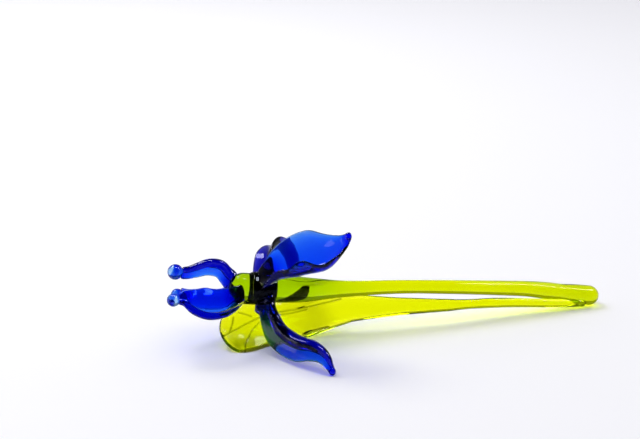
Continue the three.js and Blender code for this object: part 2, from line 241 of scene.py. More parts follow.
def closed_skin(name: str, start: Array, rings: Array, end: Array) -> Object:
    """A closed skin through rings of points, pressed flat where it meets the table, with a pole at each end
    and faces that point outwards.

    Args:
        name: the object's name.
        start: the pole before the first ring, in mm.
        rings: points as rings, sides and coordinates, in mm.
        end: the pole after the last ring, in mm.

    Returns:
        The object, linked to the scene, at the origin.
    """
    count, sides = rings.shape[:2]
    here = np.arange(sides)
    turned = (here + 1) % sides
    base, last = 1 + (count - 1) * sides, 1 + count * sides
    start_fan = np.stack([np.zeros_like(here), 1 + here, 1 + turned], -1)
    end_fan = np.stack([np.full_like(here, last), base + turned, base + here], -1)
    faces = strip(count, sides, 1, False).tolist() + start_fan.tolist() + end_fan.tolist()
    points = np.vstack([start, rings.reshape(-1, 3), end])
    points[:, 2] = np.maximum(points[:, 2], 0.0)
    return new_object(name, to_row(points), faces)


def set_attribute(piece: Object, kind: Attribute, values: Array) -> None:
    """Writes a point attribute on a closed skin; the two poles take their ring's mean.

    Args:
        piece: the skin's object.
        kind: which attribute it is.
        values: one value per ring and side.
    """
    flat = np.concatenate([[values[0].mean()], values.reshape(-1), [values[-1].mean()]])
    layer = piece.data.attributes.new(kind.value, "FLOAT", "POINT")
    layer.data.foreach_set("value", flat.astype(np.float32))


@dataclass
class Nodes:
    """A node tree that is being built up."""

    tree: Tree

    def add(self, kind: str, inputs: dict[str, object] | None = None, group: Tree | None = None) -> Node:
        """Adds a node and sets its plain inputs.

        Args:
            kind: Blender's name of the node, after ShaderNode.
            inputs: values of its input sockets, by name; a colour gets an alpha of one.
            group: the group that it stands for.

        Returns:
            The node.
        """
        made = self.tree.nodes.new("ShaderNode" + kind)
        if group:
            made.node_tree = group
        for name, value in (inputs or {}).items():
            colour = made.inputs[name].type == "RGBA"
            made.inputs[name].default_value = (*value, 1.0) if colour else value
        return made

    def maths(self, operation: str) -> Node:
        """Adds a maths node for one operation."""
        made = self.add("Math")
        made.operation = operation
        return made

    def mix(self, first: Point, second: Point) -> Node:
        """Adds a node that mixes two colours.

        Args:
            first: the colour at a factor of 0.
            second: the colour at a factor of 1.

        Returns:
            The node.
        """
        made = self.add("Mix")
        made.data_type = "RGBA"
        made.inputs["A"].default_value = (*first, 1.0)
        made.inputs["B"].default_value = (*second, 1.0)
        return made

    def wire(self, *links: tuple[Node, Key, Node, Key]) -> None:
        """Links nodes, each by the node and its output, and then the node and its input."""
        for source, leaving, target, entering in links:
            self.tree.links.new(source.outputs[leaving], target.inputs[entering])

    def mirrored(self) -> tuple[Node, Node]:
        """A mask of the rays that glass mirrored: glossy minus transmitted, as a refracted ray is both.

        Returns:
            The Light Path node and the mask's node.
        """
        path, mask = self.add("LightPath"), self.maths("SUBTRACT")
        mask.use_clamp = True
        self.wire((path, "Is Glossy Ray", mask, 0), (path, "Is Transmission Ray", mask, 1))
        return path, mask


class FirePolish:
    """The skin that a flame leaves on glass: soft waves, with finer striae drawn out along the piece."""

    WAVE_DETAIL = 1.0
    STRIAE_DETAIL = 2.0
    STRIAE_SCALE = 420.0
    STRIAE_STRETCH = (0.12, 1.0, 1.0)

    @classmethod
    @cache
    def group(cls) -> Tree:
        """The node group, built once: height = waves * noise(broad) + striae * noise(stretched along X).

        Returns:
            The group, with the output Height in metres.
        """
        tree = bpy.data.node_groups.new("fire_polish", "ShaderNodeTree")
        for name in ("Wave Scale", "Wave Depth", "Striae Depth"):
            tree.interface.new_socket(name=name, in_out="INPUT", socket_type="NodeSocketFloat")
        tree.interface.new_socket(name="Height", in_out="OUTPUT", socket_type="NodeSocketFloat")
        given, out = tree.nodes.new("NodeGroupInput"), tree.nodes.new("NodeGroupOutput")
        nodes = Nodes(tree)
        place = nodes.add("TexCoord")
        waves = nodes.add("TexNoise", {"Detail": cls.WAVE_DETAIL})
        drawn = nodes.add("Mapping", {"Scale": cls.STRIAE_STRETCH})
        fine = {"Scale": cls.STRIAE_SCALE, "Detail": cls.STRIAE_DETAIL}
        striae = nodes.add("TexNoise", fine)
        wave_part, striae_part = nodes.maths("MULTIPLY"), nodes.maths("MULTIPLY_ADD")
        nodes.wire(
            (place, "Object", waves, "Vector"),
            (place, "Object", drawn, "Vector"),
            (drawn, "Vector", striae, "Vector"),
            (given, "Wave Scale", waves, "Scale"),
            (waves, "Fac", wave_part, 0),
            (given, "Wave Depth", wave_part, 1),
            (striae, "Fac", striae_part, 0),
            (given, "Striae Depth", striae_part, 1),
            (wave_part, "Value", striae_part, 2),
            (striae_part, "Value", out, "Height"),
        )
        return tree


class GlassTone:
    """The tint of a glass skin: clear, with a paler tip, a rim darkened as painted shade and a dark root."""

    @classmethod
    @cache
    def group(cls) -> Tree:
        """The node group, built once: from clear, a mix towards the tip's, the rim's and then the root's
        colour, each by its own mask.

        Returns:
            The group, with the output Color.
        """
        tree = bpy.data.node_groups.new("glass_tone", "ShaderNodeTree")
        for kind in Attribute:
            tree.interface.new_socket(name=kind.value, in_out="INPUT", socket_type="NodeSocketColor")
            tree.interface.new_socket(name=kind.mask, in_out="INPUT", socket_type="NodeSocketFloat")
        tree.interface.new_socket(name="Color", in_out="OUTPUT", socket_type="NodeSocketColor")
        given, out = tree.nodes.new("NodeGroupInput"), tree.nodes.new("NodeGroupOutput")
        nodes = Nodes(tree)
        tone = None
        for kind in Attribute:
            mix = nodes.mix(CLEAR, CLEAR)
            nodes.wire((given, kind.mask, mix, "Factor"), (given, kind.value, mix, "B"))
            if tone:
                nodes.wire((tone, "Result", mix, "A"))
            tone = mix
        nodes.wire((tone, "Result", out, "Color"))
        return tree


@dataclass(frozen=True)
class GlassFinish:
    """A coloured glass: what its depth takes away, the tint of its skin and how the skin waves.

    The depth leaves the colour absorb, the faster the higher the density. Tip, rim and root tint the skin;
    the rim's tint is painted shade, and so is the root's on the stem. Sheen tints what it mirrors, and
    passing is what each skin lets through to the shadow.
    """

    name: str
    slot: str
    absorb: Point
    density: float
    tip: Point = CLEAR
    rim: Point = CLEAR
    root: Point = CLEAR
    sheen: Point = CLEAR
    passing: Point = (0.75, 0.75, 0.76)
    ior: float = 1.5
    wave_scale: float = 90.0
    wave_depth: float = 0.0002
    striae_depth: float = 0.00004

    @cache
    def material(self) -> bpy.types.Material:
        """The glass as nodes: a clear skin around a plain absorbing volume; lamps pass it, so that its
        shadow is tinted by its depth.

        Returns:
            The material, made on the first call.
        """
        made = bpy.data.materials.new(self.name)
        made.use_nodes = True
        made.node_tree.nodes.clear()
        nodes = Nodes(made.node_tree)
        out = nodes.add("OutputMaterial")
        glass = self.skin(nodes)
        path, mix = nodes.add("LightPath"), nodes.add("MixShader")
        passing = nodes.add("BsdfTransparent", {"Color": self.passing})
        depth = nodes.add("VolumeAbsorption", {"Color": self.absorb, "Density": self.density})
        nodes.wire(
            (path, "Is Shadow Ray", mix, "Fac"),
            (glass, "BSDF", mix, 1),
            (passing, "BSDF", mix, 2),
            (mix, "Shader", out, "Surface"),
            (depth, "Volume", out, "Volume"),
        )
        return made

    def skin(self, nodes: Nodes) -> Node:
        """The clear skin, bumped by the fire polish and, where it has a tint, coloured by the tone group.

        Args:
            nodes: the material's nodes.

        Returns:
            The Principled node.
        """
        plain = {
            "Base Color": CLEAR,
            "Transmission Weight": 1.0,
            "Roughness": 0.0,
            "IOR": self.ior,
            "Specular Tint": self.sheen,
        }
        glass = nodes.add("BsdfPrincipled", plain)
        tints = (self.tip, self.rim, self.root)
        if any(tint != CLEAR for tint in tints):
            colours = {kind.value: tint for kind, tint in zip(Attribute, tints)}
            tone = nodes.add("Group", colours, GlassTone.group())
            for kind in Attribute:
                mask = nodes.add("Attribute")
                mask.attribute_name = kind.value
                nodes.wire((mask, "Fac", tone, kind.mask))
            nodes.wire((tone, "Color", glass, "Base Color"))
        waves = {
            "Wave Scale": self.wave_scale,
            "Wave Depth": self.wave_depth,
            "Striae Depth": self.striae_depth,
        }
        polish = nodes.add("Group", waves, FirePolish.group())
        bump = nodes.add("Bump", {"Distance": 1.0})
        nodes.wire((polish, "Height", bump, "Height"), (bump, "Normal", glass, "Normal"))
        return glass


GREEN = GlassFinish(
    name="chartreuse_glass",
    slot="green_glass",
    absorb=(0.972, 0.983, 0.0),
    density=1600.0,
    # painted shade: the rim colour darkens the leaf's creases
    rim=(0.12, 0.14, 0.02),
    # painted shade: the root colour darkens the stem next to the flower, under the petals
    root=(0.66, 0.87, 0.4),
    sheen=(0.35, 0.35, 0.3),
    passing=(0.6, 0.6, 0.76),
    ior=1.38,
    wave_scale=60.0,
)
BLUE = GlassFinish(
    name="cobalt_glass",
    slot="blue_glass",
    absorb=(0.0, 0.5, 0.98),
    density=4000.0,
    tip=(0.75, 0.85, 1.0),
    # painted shade: the rim colour darkens the petals' rims and rolled walls
    rim=(0.3, 0.2, 0.36),
    root=(0.2, 0.08, 0.5),
    sheen=(0.7, 0.7, 1.0),
    passing=(0.75, 0.75, 0.6),
)
INDIGO = GlassFinish(
    name="indigo_glass",
    slot="blue_glass",
    absorb=(0.33, 0.33, 0.86),
    density=3600.0,
    # painted shade: the rim colour darkens the far fall's rims and rolled walls
    rim=(0.38, 0.24, 0.5),
    root=(0.2, 0.08, 0.5),
    sheen=(0.7, 0.7, 1.0),
    passing=(0.75, 0.75, 0.6),
)
PALE = GlassFinish("pale_blue_glass", "blue_glass", (0.8, 0.9, 0.985), 1000.0)
THREAD = GlassFinish("cobalt_thread", "blue_glass", (0.0, 0.5, 0.955), 4000.0, ior=1.02)
DARK = GlassFinish("black_glass", "dark_glass", (0.0, 0.1, 0.3), 6000.0, sheen=(0.25, 0.3, 0.4))


def settle(piece: Object, node: str, finish: GlassFinish) -> None:
    """Dresses a piece and lets it ride on the frame in place of its CAD node.

    Args:
        piece: the piece's object.
        node: the CAD node that it stands for.
        finish: its glass.
    """
    piece.data.materials.append(finish.material())
    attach(piece, "root")
    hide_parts(node)
    LOG.info("%s: %d faces in %s", node, len(piece.data.polygons), finish.slot)


@dataclass
class Side:
    """One side of a petal: its half widths in mm at the root and the belly, where along the petal that is,
    its bend in degrees, its ruffle (depth in degrees, number of waves, phase in turns), how thick its rim is,
    as a share of the petal's thickness, and how much painted shade darkens its glass.
    """

    root: float
    half: float
    widest: float
    bend: float
    ruffle: Point
    thick: float
    tint_and_painted_shade: float = 0.0

    WIDTH_RISE = 1.3
    ROOT_BEND = 0.35
    NECK_BEND = 0.15
    BEND_RISE = 1.0
    BEND_TAPER = 1.3

    def width(self, share: Array, neck: float, taper: float) -> Array:
        """Half width along the petal, from the root over the belly to the neck."""
        return swell(share, self.root, self.half, neck, self.widest, self.WIDTH_RISE, taper)

    def bent(self, share: Array) -> Array:
        """Angle that the side is bent through, with the ruffle's sine wave added, which fades at both ends.

        Args:
            share: shares of the petal's length.

        Returns:
            Radians at each share.
        """
        depth, waves, phase = self.ruffle
        wave = depth * np.sin(np.pi * share) * np.sin(2 * np.pi * (waves * share + phase))
        form = swell(share, self.ROOT_BEND, 1.0, self.NECK_BEND, self.widest, self.BEND_RISE, self.BEND_TAPER)
        return np.radians(self.bend * form + wave)


@dataclass
class Petal:
    """A cupped petal: a lens section carried along a spine, each side bent on an arc, ending in a ball.

    Sizes are in mm. The neck is the half width at the ball, the heel rounds the root, the flare widens it,
    its dark tint fades over root_reach, and its section leans back by root_lean for each mm across. A beaded
    petal leaves its ball to a bead of another glass. The values in capitals are common to all petals.
    """

    node: str
    spine: list[Point]
    facing: list[Point]
    left: Side
    right: Side
    thickness: float
    root_thickness: float
    taper: float
    neck: float
    ball: float
    heel: float
    finish: GlassFinish = BLUE
    beaded: bool = False
    flare: float = 0.0
    root_reach: float = 9.0
    root_lean: float = 0.0
    rim_painted_shade: float = 0.3
    steps: int = 150
    sides: int = 72

    GATHER = 2.4
    ROOT_CROWDING = 1.25
    BALL_STEPS = 28
    BEAD_SINK = 0.25
    CHORD_PULL = 0.6
    CUP_FADE = 3.0
    LEAST_BEND = 1e-4
    FLARE_AT = 4.5
    FLARE_REACH = 2.5
    LEAN_REACH = 14.0
    RIM_POWER = 0.8
    RIM_REACH = 0.5
    THICK_ROOT = 0.16
    NECK_START = 0.75
    NECK_FLATNESS = 0.85
    PALE_REACH = 5.0
    PAINTED_SHADE_START = 0.2
    PAINTED_SHADE_FADE = 0.4
    EDGE_START = 0.8
    EDGE_FADE = 0.2

    def build(self) -> Object:
        """The petal's skin: at each ring the section, with x across and y towards the facing, leaning back
        at the root.

        Returns:
            The petal's object.
        """
        spine = Spine(self.spine)
        end = 1.0 - self.bead_length() / spine.length
        share = end * self.shares(spine.length)
        angle = full_turn(self.sides)
        x, y = self.section(share, spine.length, angle)
        tangent, facing, across = self.axes(spine, share)
        points = spine.at(share)[:, None] + across[:, None] * x[..., None] + facing[:, None] * y[..., None]
        lean = self.root_lean * ease(1.0 - share * spine.length / self.LEAN_REACH)
        points = points - tangent[:, None] * (lean[:, None] * x)[..., None]
        start, stop = spine.at(np.array([0.0, end]))
        piece = closed_skin(self.node + "_glass", start, points, stop)
        self.tint_and_painted_shade(piece, share * spine.length, spine.length, angle)
        return piece

    def bead(self) -> "Bead":
        """The ball at the petal's tip, made as a piece of its own.

        Returns:
            The ball, a radius before the spine's end.
        """
        spine = Spine(self.spine)
        place = np.array([1.0 - self.ball / spine.length])
        return Bead(self.node, spine.at(place)[0], spine.tangent(place)[0], self.ball)

    def bead_length(self) -> float:
        """Length in mm that the blade leaves to a bead, into which its end sinks a little."""
        return (2.0 - self.BEAD_SINK) * self.ball if self.beaded else 0.0

    def shares(self, length: float) -> Array:
        """Shares of the rings: crowded towards the root on a power, and eased over the gathered end.

        Args:
            length: the spine's length in mm.

        Returns:
            Shares from the root to the tip, without the ends.
        """
        gathered = self.GATHER * self.ball / length
        blade = (1.0 - gathered) * (np.arange(1, self.steps + 1) / self.steps) ** self.ROOT_CROWDING
        return np.concatenate([blade, 1.0 - gathered * (1.0 - eased_shares(self.BALL_STEPS))])

    def axes(self, spine: Spine, share: Array) -> tuple[Array, Array, Array]:
        """The section's directions: T along the spine but pulled towards the chord, N towards the facing and
        square to T, and B = T x N.

        Args:
            spine: the petal's spine.
            share: shares of its length.

        Returns:
            T, N and B at each share.
        """
        chord = unit(np.subtract(self.spine[-1], self.spine[0]))
        tangent = unit((1.0 - self.CHORD_PULL) * spine.tangent(share) + self.CHORD_PULL * chord)
        marks = np.linspace(0.0, 1.0, len(self.facing))
        aim = np.stack([np.interp(share, marks, axis) for axis in np.array(self.facing, float).T], -1)
        facing = unit(aim - (aim * tangent).sum(-1, keepdims=True) * tangent)
        return tangent, facing, np.cross(tangent, facing)

    def half_thickness(self, share: Array) -> Array:
        """Half the thickness: thick at the root on a bell curve, thin in the blade and gathered to the neck.

        Args:
            share: shares of the petal's length.

        Returns:
            Millimetres at each share.
        """
        blade = self.thickness / 2
        root = (self.root_thickness / 2 - blade) * np.exp(-((share / self.THICK_ROOT) ** 2))
        gathered = np.clip((share - self.NECK_START) / (1.0 - self.NECK_START), 0.0, 1.0) ** 2
        return blade + root + (self.NECK_FLATNESS * self.neck - blade) * gathered

    def tip(self, to_tip: Array) -> tuple[Array, Array]:
        """How the blade ends: rounded off inside its bead, or in a ball of its own glass.

        Args:
            to_tip: mm from each ring to the tip.

        Returns:
            The round end's height, from 0 to 1, and the ball's radius in mm, at each ring.
        """
        if self.beaded:
            return round_end(to_tip - self.bead_length(), self.BEAD_SINK * self.ball), np.zeros_like(to_tip)
        ball = np.sqrt(np.maximum(self.ball**2 - (to_tip - self.ball) ** 2, 0.0))
        return round_end(to_tip, self.ball), ball

    def section(self, share: Array, length: float, angle: Array) -> tuple[Array, Array]:
        """The section's points: a side of half width w bent through b has x = (w / b - h) sin(b c) and
        y = w / b (1 - cos(b c)) + h cos(b c), where c and s are cosine and sine round the section and h is
        the half thickness times a power of s, which makes the rim blunt.

        Args:
            share: shares of the petal's length.
            length: the spine's length in mm.
            angle: angles round the section.

        Returns:
            x and y in mm, by ring and side.
        """
        from_root, to_tip = share * length, (1.0 - share) * length
        heel = round_end(from_root, self.heel)
        cap, ball = self.tip(to_tip)
        cupped = ease((to_tip - self.ball) / (self.CUP_FADE * self.ball))
        out, up = np.cos(angle)[None], np.sin(angle)[None]
        thin = min(self.left.thick, self.right.thick)
        thick = np.where(out >= 0, self.right.thick, self.left.thick) - thin
        rim = thin + thick * ease(np.abs(out) / self.RIM_REACH) - 1.0
        wall = self.half_thickness(share)[:, None] + self.thickness / 2 * rim * cupped[:, None]
        wall = wall * cap[:, None]
        blunt = np.sign(up) * np.abs(up) ** (1.0 - (1.0 - self.RIM_POWER) * cupped[:, None])
        half = np.maximum(wall, ball[:, None]) * heel[:, None] * blunt
        flare = self.flare * np.exp(-(((from_root - self.FLARE_AT) / self.FLARE_REACH) ** 2))
        sides = (self.right, self.left)
        widths = [(side.width(share, self.neck, self.taper) + flare) * cap for side in sides]
        width = np.where(out >= 0, *((np.maximum(w, ball) * heel)[:, None] for w in widths))
        bends = [np.maximum(side.bent(share) * cupped, self.LEAST_BEND) for side in sides]
        bent = np.where(out >= 0, *(bend[:, None] for bend in bends))
        x = (width / bent - half) * np.sin(bent * out)
        y = width / bent * (1.0 - np.cos(bent * out)) + half * np.cos(bent * out)
        return x, y

    def tint_and_painted_shade(self, piece: Object, from_root: Array, length: float, angle: Array) -> None:
        """Marks where the glass is pale, where shade is painted on its sides and rim, and where it is dark at
        the root: each mask is a smooth step along or across it.

        Args:
            piece: the petal's object.
            from_root: mm from the root to each ring.
            length: the spine's length in mm.
            angle: angles round the section.
        """
        out = np.cos(angle)[None]
        rim = np.abs(out)
        pale = ease(1.0 - (length - from_root) / (self.PALE_REACH * self.ball))
        # painted shade: the sides and the rim edge are darkened by the rim colour
        side = np.where(out >= 0, self.right.tint_and_painted_shade, self.left.tint_and_painted_shade)
        side = side * ease((rim - self.PAINTED_SHADE_START) / self.PAINTED_SHADE_FADE)
        edge = self.rim_painted_shade * ease((rim - self.EDGE_START) / self.EDGE_FADE)
        dark = ease(1.0 - from_root / self.root_reach)
        for kind, mask in zip(Attribute, (pale[:, None], np.maximum(side, edge), dark[:, None])):
            set_attribute(piece, kind, np.broadcast_to(mask, (len(from_root), len(angle))))


@dataclass
class Bead:
    """The ball that ends a standard: a gather of pale glass with a cobalt thread wound into it.

    The centre and the radius are in mm. The thread's depth and size are shares of the radius.
    """

    node: str
    centre: Array
    axis: Array
    radius: float
    turns: float = 1.7
    depth: float = 0.72
    thread: float = 0.26
    steps: int = 40
    sides: int = 48

    THREAD_SIDES = 12
    THREAD_WIDTH = 1.6
    THREAD_HEIGHT = 0.5
    POLE_GAP = 0.12
    THIN_END = 0.01

    def build(self) -> None:
        """Builds and dresses the ball and its thread."""
        settle(self.ball(), self.node, PALE)
        settle(self.wound(), self.node, THREAD)

    def spoke(self, polar: Array, around: Array) -> Array:
        """Directions from the centre.

        Args:
            polar: angles from the inner pole.
            around: angles round the axis.

        Returns:
            One direction per pair of angles.
        """
        up = unit(np.cross(self.axis, (0.0, 1.0, 0.0)))
        across = np.cross(self.axis, up)
        ring = across * np.cos(around)[..., None] + up * np.sin(around)[..., None]
        return ring * np.sin(polar)[..., None] - self.axis * np.cos(polar)[..., None]

    def ball(self) -> Object:
        """The ball's skin: a sphere round the petal's end.

        Returns:
            The ball's object.
        """
        polar, around = np.meshgrid(np.pi * eased_shares(self.steps), full_turn(self.sides), indexing="ij")
        points = self.centre + self.radius * self.spoke(polar, around)
        start, end = (self.centre + way * self.radius * self.axis for way in (-1.0, 1.0))
        return closed_skin(self.node + "_ball", start, points, end)

    def wound(self) -> Object:
        """The thread's skin: a flat tube along a helix that winds from pole to pole, with thin ends.

        Returns:
            The thread's object.
        """
        share = np.linspace(0.0, 1.0, 3 * self.steps)
        polar = np.pi * (self.POLE_GAP + (1.0 - 2 * self.POLE_GAP) * share)
        out = self.spoke(polar, 2 * np.pi * self.turns * share)
        middle = self.centre + self.depth * self.radius * out
        across = np.cross(unit(np.gradient(middle, axis=0)), out)
        angle = full_turn(self.THREAD_SIDES)[None, :, None]
        wide, high = self.THREAD_WIDTH * np.cos(angle), self.THREAD_HEIGHT * np.sin(angle)
        flat = across[:, None] * wide + out[:, None] * high
        full = np.sqrt(np.sin(np.pi * np.clip(share, self.THIN_END, 1.0 - self.THIN_END)))
        points = middle[:, None] + (self.thread * self.radius * full)[:, None, None] * flat
        return closed_skin(self.node + "_thread", middle[0], points, middle[-1])


@dataclass
class Flower:
    """Three falls that spring from the collar and three standards that stand on the stem's head."""

    fall_thickness: float = 2.5
    fall_root: float = 5.6
    fall_neck: float = 1.5
    fall_ball: float = 1.7
    standard_thickness: float = 2.9
    standard_root: float = 5.0
    heel: float = 2.0

    def falls(self) -> list[Petal]:
        """The three outer petals with their sizes in mm.

        Returns:
            The upper, the near and the far one.
        """
        fall = {
            "thickness": self.fall_thickness,
            "root_thickness": self.fall_root,
            "neck": self.fall_neck,
            "ball": self.fall_ball,
            "heel": self.heel,
        }
        upper = Petal(
            "fall_upper",
            [(-1.5, -3, 32), (2, -7, 35), (7.5, -10.5, 38.5), (15.5, -14, 41), (22.5, -17.5, 43),
             (28.5, -20.5, 46.5), (33, -22.5, 52), (37.5, -23.5, 59.5)],
            [(-0.5, -0.6, 0.6), (-0.35, -0.55, 0.75), (-0.3, -0.55, 0.75), (-0.3, -0.55, 0.75),
             (-0.3, -0.55, 0.75)],
            left=Side(5, 18, 0.55, 40, (5, 2, -0.15), 0.55),
            right=Side(5, 14.5, 0.5, 145, (14, 3.5, 0.4), 0.8),
            taper=1.5,
            **fall,
        )
        near = Petal(
            "fall_near",
            [(-0.5, -3, 24.5), (0.5, -8, 20.5), (0.5, -14, 16.5), (2, -20.5, 11.5), (5.5, -27, 9),
             (9.5, -33.5, 8.5), (15, -38.5, 9), (19.5, -43, 7.5), (23.5, -47.5, 0.5)],
            [(0.3, 0.8, -0.4), (0.35, 0.85, -0.3), (0.4, 0.85, -0.2), (0.35, 0.85, -0.2), (0.2, 0.8, -0.4),
             (0.1, 0.5, -0.75)],
            left=Side(4, 6.8, 0.57, 30, (5, 2, 0), 0.5),
            right=Side(3, 7, 0.55, 60, (1, 2, 0), 2.2, tint_and_painted_shade=0.7),
            taper=1.7, flare=2.2,
            **fall,
        )
        far = Petal(
            "fall_far",
            [(1.5, 4, 26.5), (3.5, 8, 34), (6.5, 14, 39), (12.5, 22, 39), (18.5, 30, 33), (23.5, 36, 23.5),
             (26, 40, 12.5), (28, 42, 0)],
            [(-0.6, -0.1, 0.7), (-0.5, 0.1, 0.8), (-0.3, 0.4, 0.8), (0.1, 0.7, 0.6), (0.35, 0.9, 0.3),
             (0.5, 0.8, 0.2)],
            left=Side(6.5, 7, 0.5, 70, (11, 2, 0.1), 0.7),
            right=Side(5, 6, 0.5, 100, (13, 2, 0.6), 0.7),
            taper=1.3, finish=INDIGO, root_reach=14.0, rim_painted_shade=0.9,
            **fall,
        )
        return [upper, near, far]

    def standards(self) -> list[Petal]:
        """The three inner petals with their sizes in mm.

        Returns:
            The upper, the near and the lower one.
        """
        standard = {
            "thickness": self.standard_thickness,
            "root_thickness": self.standard_root,
            "beaded": True,
        }
        upper = Petal(
            "standard_upper",
            [(-13.5, 2, 29), (-16.5, 3, 33), (-19.5, 3.5, 37), (-25, 3.5, 38.5), (-30.5, 3.5, 37.5),
             (-36.5, 3, 37), (-44.5, 3, 39)],
            [(0.5, 0.6, -0.4), (0.2, 0.85, -0.4), (0, 0.95, -0.3), (0, 0.95, -0.3), (0, 0.8, -0.5)],
            left=Side(5, 4, 0.2, 80, (5, 1.5, 0), 2.2, tint_and_painted_shade=1.0),
            right=Side(5, 4.5, 0.2, 35, (5, 1.5, 0), 0.4),
            taper=3, neck=2.9, ball=3.7, heel=self.heel,
            **standard,
        )
        near = Petal(
            "standard_near",
            [(-10, -7, 23.5), (-14.5, -10, 22.5), (-21, -12.5, 21.5), (-28.5, -13, 22), (-34.5, -11, 24.5),
             (-39, -8.5, 28), (-46.5, -6, 27.5)],
            [(0.1, -0.85, 0.5), (0, -0.8, 0.6), (0, -0.75, 0.65), (0, -0.75, 0.65), (0, -0.7, 0.7)],
            left=Side(0.2, 3, 0.62, 90, (3, 1.5, 0), 1.6, tint_and_painted_shade=1.0),
            right=Side(9, 12, 0.5, 35, (3, 1.5, 0), 0.35, tint_and_painted_shade=0.15),
            taper=2.4, neck=2.4, ball=3.1, heel=2.0 * self.heel,
            root_lean=0.3,
            **standard,
        )
        lower = Petal(
            "standard_lower",
            [(-10, 4, 24.5), (-13.5, 6, 22.5), (-19, 8, 20.5), (-26, 9, 20.5), (-33, 8, 22), (-37, 6, 24),
             (-43, 4, 26.5)],
            [(0, 0.6, -0.7), (0, 0.6, -0.7)],
            left=Side(6, 8, 0.4, 62, (8, 1.5, 0), 0.5),
            right=Side(5, 6, 0.4, 45, (8, 1.5, 0.5), 0.5),
            taper=1.3, neck=2.4, ball=3.0, heel=self.heel,
            **standard,
        )
        return [upper, near, lower]

    def build(self) -> None:
        """Builds and dresses the petals and the beads at their tips."""
        for petal in self.falls() + self.standards():
            settle(petal.build(), petal.node, petal.finish)
            if petal.beaded:
                petal.bead().build()


@dataclass
class Stem:
    """The drawn rod, thick inside the flower, slim in the middle and gathered again at the foot; sizes in mm.

    The table presses its foot flat by foot_dip. Its skin is darkened with painted shade up to deep_x and
    clear from pale_x on.
    """

    head_x: float = -16.0
    head_height: float = 29.4
    head_radius: float = 6.8
    waist_radius: float = 3.4
    foot_x: float = 178.5
    foot_radius: float = 5.2
    foot_round: float = 5.5
    foot_dip: float = 1.3
    deep_x: float = 15.0
    pale_x: float = 70.0
    steps: int = 260
    sides: int = 64

    REACH = 0.01
    SAMPLES = 4000
    PLANE = np.array([1.0, 0.0, 1.0])

    def sections(self) -> Array:
        """Rows of x, radius and height of the axis, from the flower to the foot.

        Returns:
            One row per section, in mm.
        """
        head, waist, foot = self.head_radius, self.waist_radius, self.foot_radius
        return np.array([
            (self.head_x, head, self.head_height),
            (5, head, 26),
            (19, head * 0.92, 24),
            (41, waist * 1.2, 22.1),
            (70, waist, 20.2),
            (97, waist * 1.03, 17.3),
            (124, waist * 1.1, 14),
            (139, foot * 0.77, 12),
            (151, foot * 0.85, 9.6),
            (157, foot * 0.82, 8.4),
            (165, foot * 0.93, 6.7),
            (self.foot_x, foot, foot - self.foot_dip),
        ])

    def read(self, share: Array) -> tuple[Array, Array, Array]:
        """The rod at shares of its rows; its direction is the difference of two places close by.

        Args:
            share: shares of the rows.

        Returns:
            Centres and radii in mm, and directions.
        """
        rows = self.sections()
        last = len(rows) - 1
        now = catmull_rom(rows, share * last)
        steps = (self.REACH, -self.REACH)
        ahead, behind = (catmull_rom(rows, np.clip(share * last + step, 0, last)) for step in steps)
        return now * self.PLANE, now[:, 1], unit((ahead - behind) * self.PLANE)

    def share_at(self, x: Array) -> Array:
        """Shares of the rows at which the rod passes x."""
        share = np.linspace(0.0, 1.0, self.SAMPLES)
        return np.interp(x, self.read(share)[0][:, 0], share)

    def rings(self, share: Array, radius: Array, sides: int) -> Array:
        """Circles round the axis, from the near side up and over.

        Args:
            share: shares of the rows.
            radius: radii in mm, by ring or by ring and side.
            sides: points in each circle.

        Returns:
            Points in mm, by ring and side.
        """
        centre, _, along = self.read(share)
        up = np.stack([-along[:, 2], np.zeros(len(along)), along[:, 0]], -1)
        across = np.cross(along, up)
        angle = full_turn(sides)[None, :, None]
        spoke = across[:, None] * np.cos(angle) + up[:, None] * np.sin(angle)
        return centre[:, None] + spoke * np.broadcast_to(radius, (len(share), sides))[..., None]

    def build(self) -> None:
        """Builds and dresses the rod's skin: a circle carried along the axis, closed by a round head
        and a blunt round foot.
        """
        share = eased_shares(self.steps)
        centre, radius, _ = self.read(share)
        shape = round_end(centre[:, 0] - self.head_x, self.head_radius)
        shape = shape * round_end(self.foot_x - centre[:, 0], self.foot_round)
        points = self.rings(share, (radius * shape)[:, None], self.sides)
        start, end = self.read(np.array([0.0, 1.0]))[0]
        piece = closed_skin("stem_glass", start, points, end)
        # painted shade: the skin darkens towards the flower, where the petals shade the stem
        deep = ease((self.pale_x - points[..., 0]) / (self.pale_x - self.deep_x))
        set_attribute(piece, Attribute.ROOT, deep)
        settle(piece, "stem", GREEN)


@dataclass
class Collar:
    """The dark band wound on the stem's head, with a tongue below; sizes in mm, the lump as a share."""

    start_x: float = -5.5
    length: float = 11.5
    wall: float = 1.3
    roundness: float = 0.25
    lump: float = 0.25
    gap: float = 0.05
    tongue: float = 5.0
    tongue_power: int = 4
    waver: float = 0.4
    steps: int = 48
    sides: int = 72

    def build(self, stem: Stem) -> None:
        """Builds and dresses the band's skin: a closed tube whose section runs out along the barrel and back
        along the bore, which clears the stem by the gap. Two sine waves round the stem make its wall lumpy,
        and a third one lets its edge waver.

        Args:
            stem: the rod that carries it.
        """
        half = self.steps // 2
        out = (1.0 - np.cos(np.pi * np.arange(half) / half)) / 2
        share = np.concatenate([out, 1.0 - out])
        bulge = np.concatenate([np.sin(np.pi * out) ** self.roundness, np.zeros(half)])
        place = stem.share_at(self.start_x + self.length * share)
        angle = full_turn(self.sides)
        lumps = 1.0 + self.lump * (np.sin(2 * angle + 1.0) + np.sin(5 * angle) / 2)
        bore = stem.read(place)[1] + self.gap
        points = stem.rings(place, bore[:, None] + self.wall * bulge[:, None] * lumps, self.sides)
        tongue = self.tongue * np.clip(-np.sin(angle), 0.0, 1.0) ** self.tongue_power
        points[..., 0] -= (tongue + self.waver * np.sin(3 * angle)) * (1.0 - share)[:, None]
        faces = strip(self.steps, self.sides, 0, True).tolist()
        settle(new_object("collar_glass", to_row(points), faces), "collar", DARK)


